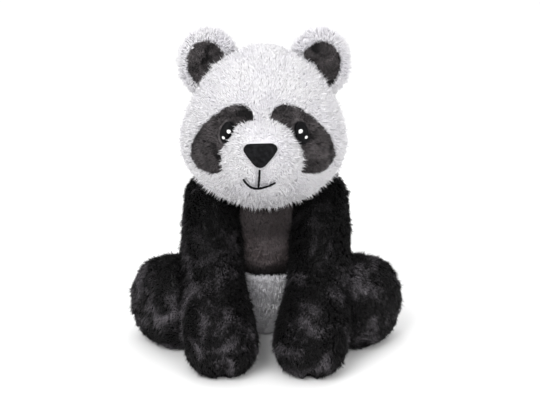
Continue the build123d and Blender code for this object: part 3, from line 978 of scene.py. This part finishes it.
def build_torso():
    covers = covers_of("torso")
    form = padded_form("torso_cloth", "torso", covers, covers + ["torso_stuffing"], fuller=0)
    furnish(form, "torso", covers, along((0, 0, -1)), keep=outside_neck)


def build_neck():
    form = remeshed(["neck_stuffing"], "neck_cloth", voxel=3 * MM, relax=2)
    shade_smooth(form.data)
    form.data.materials.clear()
    form.data.materials.append(MATERIALS["dark_plush"])
    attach(form, "neck")
    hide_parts("neck_stuffing")


ARM_FULLER = 2.6 * MM
ARM_BOW = 4 * MM
PAW_RADIUS = 27 * MM
PAW_ACROSS = 44 * MM  # from the middle of the body to the middle of a paw
PAW_FROM = 0.55  # where the paw begins, as a share of the arm
PAW_IN = 3 * MM
PAW_AHEAD = 4.5 * MM
PAW_FULLER = 1.06


def arm_shape(shoulder, paw, side):
    """The arm bows outwards at the elbow and ends in a larger paw that is set forwards."""

    def reshape(co):
        run = paw - shoulder
        t = np.clip((co - shoulder) @ run / (run @ run), 0, 1)
        paw_ness = smoothstep((t - PAW_FROM) / (1 - PAW_FROM))
        grown = paw + (co - paw) * PAW_FULLER
        co = co + (grown - co) * paw_ness[:, None]
        co[:, 0] += side * (ARM_BOW * np.sin(math.pi * t) - PAW_IN * paw_ness)
        co[:, 1] -= PAW_AHEAD * paw_ness
        return co

    return reshape


def build_arm(name, side):
    body = f"{name}_arm"
    covers = covers_of(body)
    shoulder = pivot(f"{name}_arm_swing")
    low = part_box(f"{name}_arm_outer")[0]
    paw = np.array([side * PAW_ACROSS, low.y + PAW_RADIUS, low.z + PAW_RADIUS])
    shape = arm_shape(shoulder, paw, side)
    form = padded_form(f"{body}_cloth", body, covers, nodes_of(body), ARM_FULLER, shape)
    furnish(form, body, covers, along(paw - shoulder))


LEG_FULLER = 2 * MM
FOOT_OUT = 6.5 * MM
LEG_COMB_DROP = -30 * MM  # how far the combing falls from the hip to the sole


def build_leg(name, side):
    body = f"{name}_leg"
    covers = covers_of(body)
    hip = pivot(f"{name}_leg_splay")
    toe = middle(f"{name}_foot_sole") - hip
    away = unit(toe * np.array([1, 1, 0]))

    def reshape(co):
        far = smoothstep((co - hip) @ away / np.linalg.norm(toe[:2]))
        return co + far[:, None] * away * FOOT_OUT

    form = padded_form(f"{body}_cloth", body, covers, nodes_of(body), LEG_FULLER, reshape)
    furnish(form, body, covers, along((toe[0], toe[1], LEG_COMB_DROP)))


EAR_GROWTH = np.array([1.13, 1.1, 1.32])
EAR_OUT = -0.5 * MM
EAR_DOWN = 5.5 * MM
EAR_FUR = (0.62, 0.90)  # the length of the fur on the lining and on the rim, as shares of the whole
EAR_LINING, EAR_RIM = 14 * MM, 22 * MM  # how far from the middle the lining ends and the rim begins


def build_ear(name, side):
    body = f"{name}_ear"
    covers = covers_of(body)
    centre = middle(f"{name}_ear_back")

    def radial(points, normals):
        return unit(points - centre) + np.array([0, -0.2, 0.1])

    def lining_short(points):
        out = np.linalg.norm(points - centre, axis=1)
        rim = smoothstep((out - EAR_LINING) / (EAR_RIM - EAR_LINING))
        return EAR_FUR[0] + (EAR_FUR[1] - EAR_FUR[0]) * rim

    def larger(co):
        grown = centre + (co - centre) * EAR_GROWTH
        return hand_set(grown + np.array([side * EAR_OUT, 0, -EAR_DOWN]))

    form = padded_form(
        f"{body}_cloth", body, covers, nodes_of(body), fuller=0.6 * MM, reshape=larger,
        voxel=2.2 * MM, relax=2, seam_depth=0.6 * MM,
    )
    furnish(form, body, covers, radial, lining_short, lay=0.5)


def build_tail():
    form = padded_form("tail_cloth", "tail", ["tail_cover"], nodes_of("tail"), fuller=1 * MM)
    furnish(form, "tail", ["tail_cover"], along((0, 0.5, -1)))


# ---------------------------------------------------------------- studio


def build_studio():
    """A pale floor that runs up into a backdrop, and soft lights."""
    depth, rise, bend, wide = 3.0, 3.0, 1.2, 4.0
    profile = [(-depth, 0)]
    for step in range(13):
        angle = math.radians(step * 90 / 12)
        profile.append((depth - bend + bend * math.sin(angle), bend - bend * math.cos(angle)))
    profile.append((depth, rise))
    points = [(x, y, z) for y, z in profile for x in (-wide, wide)]
    faces = [(2 * i, 2 * i + 1, 2 * i + 3, 2 * i + 2) for i in range(len(profile) - 1)]
    mesh = bpy.data.meshes.new("backdrop")
    mesh.from_pydata(points, [], faces)
    shade_smooth(mesh)
    material, tree, shader = new_material("paper")
    shader.inputs["Base Color"].default_value = (0.93, 0.93, 0.93, 1)
    shader.inputs["Roughness"].default_value = 0.9
    mesh.materials.append(material)
    link(mesh, "backdrop")
    area_light("key", (-1.1, -1.5, 2.2), 1.6, 44)
    area_light("fill", (1.6, -1.6, 1.2), 1.8, 17)
    area_light("top", (0.1, 0.6, 2.4), 2.0, 22)
    world = bpy.data.worlds.new("studio")
    world.use_nodes = True
    world.node_tree.nodes["Background"].inputs["Color"].default_value = (1, 1, 1, 1)
    world.node_tree.nodes["Background"].inputs["Strength"].default_value = 0.66
    bpy.context.scene.world = world
    bpy.context.scene.view_settings.view_transform = "Standard"


def area_light(name, place, size, power):
    """A square soft box that faces the panda."""
    data = bpy.data.lights.new(name, "AREA")
    data.size = size
    data.energy = power
    lamp = bpy.data.objects.new(name, data)
    lamp.location = place
    lamp.rotation_euler = (Vector((0, 0, 0.15)) - Vector(place)).to_track_quat("-Z", "Y").to_euler()
    bpy.context.scene.collection.objects.link(lamp)


def build_camera():
    """The camera looks down on the panda from the front."""
    elevation, distance = math.radians(20), 1.25
    target = Vector((0.0037, -0.04, 0.1365))
    data = bpy.data.cameras.new("camera")
    data.lens = 88.5
    camera = bpy.data.objects.new("camera", data)
    camera.location = target + distance * Vector((0, -math.cos(elevation), math.sin(elevation)))
    camera.rotation_euler = (target - camera.location).to_track_quat("-Z", "Y").to_euler()
    bpy.context.scene.collection.objects.link(camera)
    bpy.context.scene.camera = camera


head = build_head()
build_face(head)
build_torso()
build_neck()
for name, side in SIDES.items():
    build_arm(name, side)
    build_leg(name, side)
    build_ear(name, side)
build_tail()
build_studio()
build_camera()
